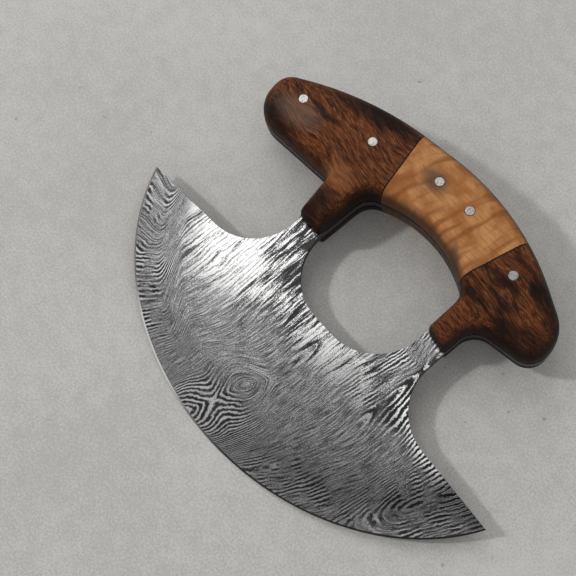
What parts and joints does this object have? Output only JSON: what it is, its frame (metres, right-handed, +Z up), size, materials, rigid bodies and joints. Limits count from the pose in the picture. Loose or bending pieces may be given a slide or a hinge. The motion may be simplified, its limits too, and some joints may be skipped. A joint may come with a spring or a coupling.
{
  "type": "ulu knife",
  "caption": "Ulu knife lying on its side: crescent blade of patterned steel with a finger hole, under a curved handle of dark and light wood scales pinned to its full tang.",
  "frame": {"origin": "middle of the knife's footprint, on the surface that it lies on", "axes": "+X along the chord between the blade's two points, +Y from the cutting edge towards the back of the handle, +Z up from the surface"},
  "size_m": [0.166, 0.1232, 0.0271],
  "materials": {
    "damascus_steel": "etched light and dark layered pattern",
    "dark_wood": "oiled dark brown with darker streaks",
    "light_wood": "oiled tan with faint cross bands",
    "black_spacer": "matte black fibre",
    "pin_steel": "ground flush with the wood"
  },
  "bodies": {
    "root": {"blade_and_tang": "damascus_steel", "front_left_scale": "dark_wood", "rear_left_scale": "dark_wood", "front_left_spacer": "black_spacer", "rear_left_spacer": "black_spacer", "front_middle_scale": "light_wood", "rear_middle_scale": "light_wood", "front_right_spacer": "black_spacer", "rear_right_spacer": "black_spacer", "front_right_scale": "dark_wood", "rear_right_scale": "dark_wood", "left_end_pin": "pin_steel", "left_inner_pin": "pin_steel", "middle_left_pin": "pin_steel", "middle_right_pin": "pin_steel", "right_pin": "pin_steel"}
  },
  "joints": []
}
